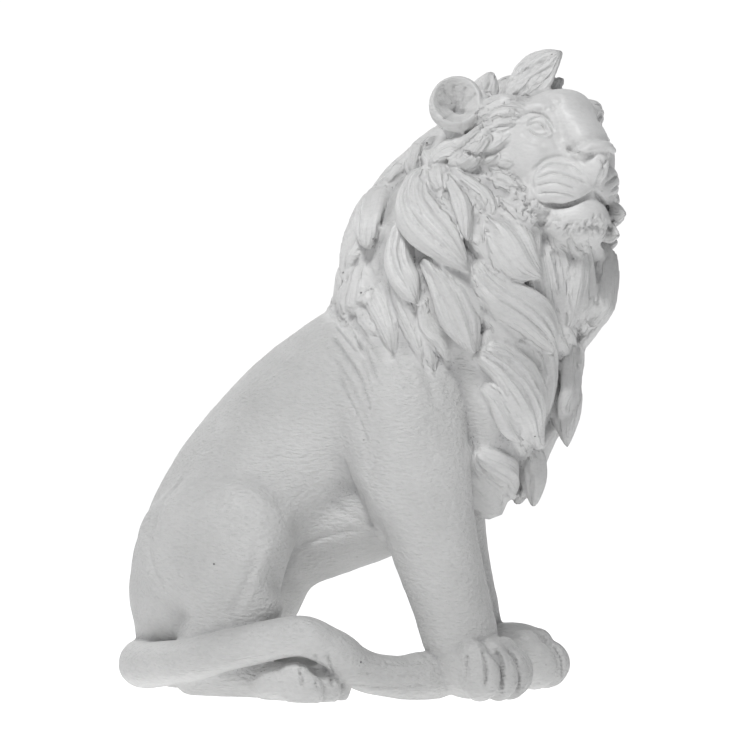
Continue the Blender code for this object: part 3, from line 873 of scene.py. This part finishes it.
def meshObject(name, clay):
    points, faces = np.concatenate(clay["points"]), np.concatenate(clay["faces"])
    mesh = bpy.data.meshes.new(name)
    mesh.vertices.add(len(points))
    mesh.vertices.foreach_set("co", points.ravel())
    mesh.loops.add(faces.size)
    mesh.loops.foreach_set("vertex_index", faces.ravel().astype(np.int32))
    mesh.polygons.add(len(faces))
    mesh.polygons.foreach_set("loop_start", np.arange(0, faces.size, 3, dtype=np.int32))
    mesh.update(calc_edges=True)
    mesh.validate()
    thing = bpy.data.objects.new(name, mesh)
    bpy.context.scene.collection.objects.link(thing)
    return thing


def settled(thing):
    # Makes the modifiers' result the object's own mesh
    shown = thing.evaluated_get(bpy.context.evaluated_depsgraph_get())
    mesh = bpy.data.meshes.new_from_object(shown)
    thing.modifiers.clear()
    old = thing.data
    thing.data = mesh
    bpy.data.meshes.remove(old)
    return thing


def easedSkin(thing, rounds):
    ease = thing.modifiers.new("ease", "SMOOTH")
    ease.factor = 0.5
    ease.iterations = rounds


def fused(thing, grain, rounds, finer=0):
    # One closed skin round all the forms, eased by some rounds of smoothing
    skin = thing.modifiers.new("skin", "REMESH")
    skin.mode = "VOXEL"
    skin.voxel_size = grain
    easedSkin(thing, rounds)
    if finer:
        subdivision = thing.modifiers.new("finer", "SUBSURF")
        subdivision.levels = finer
    return settled(thing)


def trianglesOf(mesh):
    # Points and triangles of a mesh, as arrays
    mesh.calc_loop_triangles()
    faces = np.empty(len(mesh.loop_triangles) * 3, dtype=np.int32)
    mesh.loop_triangles.foreach_get("vertices", faces)
    return vertexRows(mesh), faces.reshape(-1, 3)


def skinTree(points, faces):
    return BVHTree.FromPolygons(points.tolist(), faces.tolist())


def addMesh(clay, thing):
    points, faces = trianglesOf(thing.data)
    clay["points"].append(points)
    clay["faces"].append(faces + clay["count"])
    clay["count"] += len(points)
    bpy.data.objects.remove(thing)


def farFrom(points, place):
    # Distances from a place, in layout units
    return np.linalg.norm(points - lay(place), axis=1) / unit


def refined(figure):
    # Halves the grain where the carving is finest, and eases the whole skin a little
    points = vertexRows(figure.data)
    fine = np.zeros(len(points), dtype=bool)
    for place, reach in finePlaces:
        fine |= farFrom(points, place) < reach
    shape = bmesh.new()
    shape.from_mesh(figure.data)
    edges = [edge for edge in shape.edges if fine[edge.verts[0].index] and fine[edge.verts[1].index]]
    bmesh.ops.subdivide_edges(shape, edges=edges, cuts=1, use_grid_fill=True)
    shape.to_mesh(figure.data)
    shape.free()
    easedSkin(figure, 2)
    settled(figure)


def carve(points, normals, lift, path, pathNormals, width, depth):
    # Adds a groove or a ridge along the path to lift, which is kept for each point
    low, high = path.min(0) - 3 * width, path.max(0) + 3 * width
    near = np.where(np.all((points > low) & (points < high), axis=1))[0]
    if not len(near):
        return
    span = np.linalg.norm(points[near][:, None] - path[None], axis=2)
    closest = span.argmin(1)
    distance = span[np.arange(len(near)), closest]
    along = closest / (len(path) - 1)
    taper = np.clip(np.minimum(along, 1 - along) * 5 + 0.25, 0, 1)
    facing = np.clip((normals[near] * pathNormals[closest]).sum(1) * 2 - 0.2, 0, 1)
    lift[near] += depth * taper * facing * np.exp(-((distance / width) ** 2))


def beardPaths(tree):
    # Short, slightly bent strokes of fur over chin and jaw
    chance = np.random.default_rng(lion["beardSeed"])
    for _ in range(lion["beardStrokes"]):
        t, off, lean = chance.uniform(0, 1), chance.uniform(-8, 9), chance.uniform(-28, 28)
        here, ahead = eased(beardLine, t), eased(beardLine, min(t + 0.05, 1.0) + 0.01)
        along = unitVector(ahead - here)
        px, py = here[0] + along[1] * off, here[1] - along[0] * off
        angle, bend = math.radians(130 - 55 * t + lean), 0.4
        reach = chance.uniform(4, 7)
        sway = chance.uniform(-1, 1)
        middle = (px + math.cos(angle) * reach / 2 + sway, py + math.sin(angle) * reach / 2)
        tip = (px + math.cos(angle + bend) * reach, py + math.sin(angle + bend) * reach)
        places, facings = skinPath(tree, [(px, py), middle, tip], 6)
        # A stroke that would leap from the chin to the mane behind it is left out
        if np.linalg.norm(np.diff(places, axis=0), axis=1).max() <= lion["beardJump"]:
            yield places, facings


def carveLion(thing):
    mesh = thing.data
    points, normals = vertexRows(mesh), vertexRows(mesh, "normal")
    lift = np.zeros(len(points))
    tree = skinTree(*trianglesOf(mesh))

    def stroke(places, facings, width, depth):
        carve(points, normals, lift, places, facings, width * lion["pixel"], depth * 0.001)

    def pathOf(spots, step):
        length = sum(math.dist(a, b) for a, b in zip(spots, spots[1:]))
        return skinPath(tree, spots, max(8, int(length / step)))

    for spots, width, depth in faceStrokes:
        places, facings = pathOf(spots, 1.5)
        stroke(places, facings, width, depth)
        stroke(*snapped(tree, acrossHead(places)), width, depth)
    for spots, width, depth in bodyStrokes:
        places, facings = pathOf(spots, 3)
        stroke(places, facings, width, depth)
        # The far legs sit further back, and their toes are cut below
        x, _, z = places.mean(0) / unit
        if z > 60:
            shift = lion["farHindShift"] if x < -30 else lion["farForeShift"]
            stroke(*snapped(tree, places * (1, -1, 1) + (shift * unit, 0, 0)), width, depth)
    for pawName, height in (("forePaw", 1.0), ("hindPaw", lion["hindPawHeight"])):
        for slit in toeSlits(lion[pawName + "s"][1], lion[pawName + "Yaw"][1], height):
            stroke(*snapped(tree, slit), *lion["toeSlit"])
    for places, facings in beardPaths(tree):
        stroke(places, facings, *lion["beardStroke"])
        stroke(*snapped(tree, acrossHead(places)), *lion["beardStroke"])

    # The unevenness of a hand-carved master: low waves, and finer ones
    for (a, b, c), amount in lion["waves"]:
        lift += amount * np.array([noise.noise((a * x, b * y, c * z)) for x, y, z in points.tolist()])
    setPoints(mesh, points + normals * lift[:, None])


def edgesOf(mesh):
    edges = np.empty(len(mesh.edges) * 2, dtype=np.int32)
    mesh.edges.foreach_get("vertices", edges)
    return edges.reshape(-1, 2)


def eachNeighbourMean(edges, values):
    # For each point and column, the mean of the points that an edge joins to it
    count = len(values)
    a, b = edges.T
    links = np.maximum(np.bincount(edges.ravel(), minlength=count), 1)
    totals = [np.bincount(a, column[b], count) + np.bincount(b, column[a], count) for column in values.T]
    return np.stack(totals, 1) / links[:, None]


def keepMark(mesh, name, values, kind="FLOAT", slot="value"):
    mesh.attributes.new(name, kind, "POINT").data.foreach_set(slot, values)


def markRecesses(mesh):
    # Keeps with each point how deep it lies in a hollow, for the material's painted shade, roughness and
    # specks there
    points, edges = vertexRows(mesh), edgesOf(mesh)
    smooth = points
    for _ in range(10):
        smooth = eachNeighbourMean(edges, smooth)
    depth = ((smooth - points) * vertexRows(mesh, "normal")).sum(1)[:, None]
    for _ in range(2):
        depth = eachNeighbourMean(edges, depth)
    keepMark(mesh, "recess", np.clip(depth[:, 0] / lion["recessDepth"], -1, 1))


def keepLargest(figure):
    # Drops the small bubbles that the fusing left inside, and loose faces
    shape = bmesh.new()
    shape.from_mesh(figure.data)
    pieces, seen = [], set()
    for start in shape.verts:
        if start.index in seen:
            continue
        seen.add(start.index)
        piece, border = [], [start]
        while border:
            vertex = border.pop()
            piece.append(vertex)
            for edge in vertex.link_edges:
                other = edge.other_vert(vertex)
                if other.index not in seen:
                    seen.add(other.index)
                    border.append(other)
        pieces.append(piece)
    pieces.sort(key=len)
    bmesh.ops.delete(shape, geom=[vertex for piece in pieces[:-1] for vertex in piece], context="VERTS")
    shape.to_mesh(figure.data)
    shape.free()


def markCoat(mesh, hair, strands):
    # Keeps with each point whether it is hair of the mane or short coat, and where it lies in its lock
    points, edges = vertexRows(mesh), edgesOf(mesh)
    tree = KDTree(len(hair))
    for number, place in enumerate(hair):
        tree.insert(place, number)
    tree.balance()
    apart, guides = np.empty(len(points)), np.empty((len(points), 3))
    for number, place in enumerate(points.tolist()):
        found = [(strands[index], distance) for _, index, distance in tree.find_n(place, 4)]
        nearest, apart[number] = found[0]
        alike = [(guide, 1 / (distance + 0.0001)) for guide, distance in found if guide[2] == nearest[2]]
        guides[number] = sum(guide * weight for guide, weight in alike) / sum(weight for _, weight in alike)
    lock = np.round(guides[:, 2])
    guides[:, 2] = lock * 0.37

    # No combed lines where two locks meet
    seam = np.zeros(len(points), dtype=bool)
    seam[edges[lock[edges[:, 0]] != lock[edges[:, 1]]].ravel()] = True
    coat = np.clip((apart - 0.0025) / 0.004, 0, 1)
    coat *= np.clip(farFrom(points, faceMiddle) / 60 - 1, 0, 1)
    keepMark(mesh, "coat", coat)
    keepMark(mesh, "hair", np.clip(1 - (apart - 0.0015) / 0.002, 0, 1) * ~seam)
    keepMark(mesh, "strand", guides.ravel(), "FLOAT_VECTOR", "vector")


def thinned(figure):
    # Fewer triangles, most of them taken where the skin is smooth, and few from the face
    fewer = figure.modifiers.new("fewer", "DECIMATE")
    fewer.ratio = min(1.0, lion["triangles"] / len(trianglesOf(figure.data)[1]))
    kept = figure.vertex_groups.new(name="kept")
    nearFace = farFrom(vertexRows(figure.data), faceMiddle) < lion["faceReach"]
    for chosen, weight in ((nearFace, lion["faceShare"]), (~nearFace, 1.0)):
        kept.add(np.where(chosen)[0].tolist(), weight, "REPLACE")
    fewer.vertex_group = kept.name
    fewer.vertex_group_factor = 1.0
    settled(figure)


def castLion():
    clay = newClay()
    trunkAndLegs(clay)
    body = fused(meshObject("body", clay), lion["bodyGrain"], lion["bodyRounds"], finer=1)
    clay = newClay()
    faceForms(clay)
    head = fused(meshObject("head", clay), lion["headGrain"], lion["headRounds"], finer=1)
    print("stage: large forms", len(body.data.vertices), len(head.data.vertices))

    pressFace(head)
    clay = newClay()
    addMesh(clay, body)
    addMesh(clay, head)
    faceFeatures(clay)
    maneCoreForm(clay)
    tree = skinTree(np.concatenate(clay["points"]), np.concatenate(clay["faces"]))
    tailForm(clay)
    for side in (-1, 1):
        paw(clay, lion["forePaws"][side], side, lion["forePawYaw"][side])
        paw(clay, lion["hindPaws"][side], side, lion["hindPawYaw"][side], lion["hindPawHeight"])
    ears(clay)
    bare, tufted = len(clay["points"]), len(clay["strands"])
    headTufts(clay)
    maneForms(clay, tree)
    hair, strands = np.concatenate(clay["points"][bare:]), np.concatenate(clay["strands"][tufted:])
    grain = lion["carvedGrain"] * 1.0
    figure = fused(meshObject("resinLion", clay), grain, 1)
    refined(figure)
    print("stage: fused", len(figure.data.vertices))
    carveLion(figure)
    print("stage: carved")

    thinned(figure)
    keepLargest(figure)
    markCoat(figure.data, hair, strands)
    standOnFloor(figure.data)
    markRecesses(figure.data)
    figure.data.polygons.foreach_set("use_smooth", np.ones(len(figure.data.polygons), dtype=bool))
    print("stage: finished casting", len(figure.data.polygons))
    return figure


def standOnFloor(mesh):
    # Flattens what lies below the floor, and puts the origin under the middle of the figure
    points = vertexRows(mesh)
    points[:, 2] = np.maximum(points[:, 2] - lion["floor"] * unit, 0.0)
    points[:, :2] -= ((points.min(0) + points.max(0)) / 2)[:2]
    setPoints(mesh, points)


def link(tree, a, b):
    tree.links.new(a, b)


def colourSocket(sockets, name):
    return next(socket for socket in sockets if socket.name == name and socket.type == "RGBA")


def resinMaterial():
    material = bpy.data.materials.new("whiteResin")
    material.use_nodes = True
    tree = material.node_tree
    shader = tree.nodes["Principled BSDF"]
    make = tree.nodes.new
    coords = make("ShaderNodeTexCoord").outputs["Object"]

    def marked(name, output="Fac"):
        node = make("ShaderNodeAttribute")
        node.attribute_name = name
        return node.outputs[output]

    def noiseOf(scale, detail, stretch=(1, 1, 1), rough=0.55, lean=0.0, source=coords):
        mapping = make("ShaderNodeMapping")
        mapping.inputs["Rotation"].default_value = (0.0, lean, 0.0)
        mapping.inputs["Scale"].default_value = stretch
        link(tree, source, mapping.inputs["Vector"])
        node = make("ShaderNodeTexNoise")
        node.inputs["Scale"].default_value = scale
        node.inputs["Detail"].default_value = detail
        node.inputs["Roughness"].default_value = rough
        link(tree, mapping.outputs["Vector"], node.inputs["Vector"])
        return node.outputs["Fac"]

    def ranged(value, low, high, toLow=0.0, toHigh=1.0):
        node = make("ShaderNodeMapRange")
        node.inputs["From Min"].default_value = low
        node.inputs["From Max"].default_value = high
        node.inputs["To Min"].default_value = toLow
        node.inputs["To Max"].default_value = toHigh
        link(tree, value, node.inputs["Value"])
        return node.outputs["Result"]

    def maths(operation, a, b):
        node = make("ShaderNodeMath")
        node.operation = operation
        for socket, value in zip(node.inputs, (a, b)):
            if isinstance(value, (int, float)):
                socket.default_value = value
            else:
                link(tree, value, socket)
        return node.outputs["Value"]

    def mixed(factor, a, b):
        node = make("ShaderNodeMix")
        node.data_type = "RGBA"
        link(tree, factor, node.inputs["Factor"])
        for name, value in (("A", a), ("B", b)):
            socket = colourSocket(node.inputs, name)
            if isinstance(value, tuple):
                socket.default_value = value
            else:
                link(tree, value, socket)
        return colourSocket(node.outputs, "Result")

    def bumped(height, depth, strength=1.0, under=None, sunk=False):
        node = make("ShaderNodeBump")
        node.inputs["Distance"].default_value = depth
        node.inputs["Strength"].default_value = strength
        node.invert = sunk
        link(tree, height, node.inputs["Height"])
        if under:
            link(tree, under, node.inputs["Normal"])
        return node.outputs["Normal"]

    # White, a darker white on the short coat and in wide random patches, and painted shade in grey over the
    # hollows
    recess, coat, hair = marked("recess"), marked("coat"), marked("hair")
    hollow = ranged(recess, 0.12, 0.95)
    # Grey painted shade in the hollows, uneven over the skin
    recessShade = maths("MULTIPLY", hollow, ranged(noiseOf(26.0, 3.0), 0.3, 0.7, 0.25, 0.8))
    patches = ranged(noiseOf(8.0, 4.0), 0.35, 0.68, 0.0, 0.6)
    # A darker white on the short coat and in wide random patches
    dullerWhite = maths("ADD", maths("MULTIPLY", coat, 0.4), patches)
    colour = mixed(recessShade, mixed(dullerWhite, resin["white"], resin["dullerWhite"]), resin["grey"])

    # A few pinholes of the casting, and specks of dirt deep in the hollows
    cells = make("ShaderNodeTexVoronoi")
    cells.inputs["Scale"].default_value = 1.0 / resin["pinholeSpacing"]
    link(tree, coords, cells.inputs["Vector"])
    hole = ranged(cells.outputs["Distance"], 0.05, 0.085, 1.0, 0.0)
    rare = ranged(noiseOf(55.0, 1.0), 0.60, 0.66)
    pinhole = maths("MULTIPLY", hole, rare)
    specks = maths("MULTIPLY", ranged(noiseOf(620.0, 1.0), 0.63, 0.69), ranged(recess, 0.5, 0.95, 0.0, 0.45))
    speck = maths("MAXIMUM", maths("MULTIPLY", pinhole, 0.75), specks)
    colour = mixed(speck, colour, resin["speck"])

    # Short strokes of the modelling tool, drawn out along the body
    strokes = noiseOf(1.0, 2.0, resin["coatStretch"], 0.5, 0.45)
    colour = mixed(ranged(strokes, 0.35, 0.55, 0.10, 0.0), colour, resin["grey"])
    link(tree, colour, shader.inputs["Base Color"])

    rough = ranged(hollow, 0.0, 1.0, resin["roughness"], resin["recessRoughness"])
    rough = maths("ADD", rough, ranged(noiseOf(70.0, 3.0), 0.3, 0.7, -0.06, 0.06))
    link(tree, rough, shader.inputs["Roughness"])
    shader.inputs["Specular IOR Level"].default_value = resin["sheen"]

    # Fine hair lines that follow each lock, the short coat, a fine grain and the pinholes
    lines = noiseOf(1.0, 2.0, resin["strandStretch"], 0.5, source=marked("strand", "Vector"))
    combed = bumped(maths("MULTIPLY", lines, hair), resin["strandDepth"])
    fur = maths("ADD", maths("MULTIPLY", strokes, 0.7), maths("MULTIPLY", noiseOf(240.0, 2.0), 0.3))
    fur = maths("MULTIPLY", fur, ranged(coat, 0.0, 1.0, 0.2, 1.0))
    coated = bumped(fur, resin["furDepth"], 0.8, combed)
    grained = bumped(noiseOf(900.0, 2.0), resin["grainDepth"], 0.5, coated)
    pitted = bumped(pinhole, resin["pinholeDepth"], 1.0, grained, sunk=True)
    link(tree, pitted, shader.inputs["Normal"])
    return material


def studioFloor():
    bpy.ops.mesh.primitive_plane_add(size=studio["floorSize"])
    floor = bpy.context.object
    floor.name = "studioFloor"
    material = bpy.data.materials.new("studioFloor")
    material.use_nodes = True
    shader = material.node_tree.nodes["Principled BSDF"]
    shader.inputs["Base Color"].default_value = studio["floorColour"]
    shader.inputs["Roughness"].default_value = 0.9
    shader.inputs["Emission Color"].default_value = (1.0, 1.0, 1.0, 1.0)
    seen = material.node_tree.nodes.new("ShaderNodeLightPath")
    glow = material.node_tree.nodes.new("ShaderNodeMapRange")
    glow.inputs["To Min"].default_value = studio["floorGlowCast"]
    glow.inputs["To Max"].default_value = studio["floorGlowSeen"]
    link(material.node_tree, seen.outputs["Is Camera Ray"], glow.inputs["Value"])
    link(material.node_tree, glow.outputs["Result"], shader.inputs["Emission Strength"])
    floor.data.materials.append(material)


def studioWorld():
    # The world shows white to the camera and in reflections, and lights the figure softly
    world = bpy.data.worlds.new("studioWorld")
    world.use_nodes = True
    tree = world.node_tree
    sight = tree.nodes.new("ShaderNodeLightPath")
    shade = tree.nodes.new("ShaderNodeMix")
    shade.data_type = "RGBA"
    colourSocket(shade.inputs, "A").default_value = (studio["backdrop"],) * 3 + (1.0,)
    colourSocket(shade.inputs, "B").default_value = studio["ambient"]
    link(tree, sight.outputs["Is Diffuse Ray"], shade.inputs["Factor"])
    link(tree, colourSocket(shade.outputs, "Result"), tree.nodes["Background"].inputs["Color"])
    bpy.context.scene.world = world


def panel(name, place, size, power):
    light = bpy.data.lights.new(name, "AREA")
    light.energy = power
    light.shape = "SQUARE"
    light.size = size
    holder = bpy.data.objects.new(name, light)
    bpy.context.scene.collection.objects.link(holder)
    holder.location = place
    holder.rotation_mode = "QUATERNION"
    holder.rotation_quaternion = (Vector(place) - Vector(studio["lightsAim"])).to_track_quat("Z", "Y")


def setStudio():
    bpy.context.scene.view_settings.view_transform = "Standard"
    studioFloor()
    studioWorld()
    for name in ("key", "rim"):
        panel(name + "Panel", studio[name + "Place"], studio[name + "Size"], studio[name + "Power"])


def setCamera():
    angle = math.radians(studio["cameraAzimuth"])
    back = Vector((math.sin(angle), -math.cos(angle), 0))
    lens = bpy.data.cameras.new("photoCamera")
    lens.lens = studio["cameraLens"]
    lens.sensor_width = studio["sensorWidth"]
    lens.dof.use_dof = False
    camera = bpy.data.objects.new("photoCamera", lens)
    bpy.context.scene.collection.objects.link(camera)
    camera.location = back * studio["cameraDistance"] + Vector((0, 0, studio["cameraHeight"]))
    camera.rotation_mode = "QUATERNION"
    camera.rotation_quaternion = back.to_track_quat("Z", "Y")
    bpy.context.scene.camera = camera


for thing in list(bpy.data.objects):
    bpy.data.objects.remove(thing)
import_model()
figure = castLion()
figure.data.materials.clear()
figure.data.materials.append(resinMaterial())
print("stage: material")
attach(figure, "root")
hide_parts("lion")
setStudio()
setCamera()
print("stage: studio and camera")
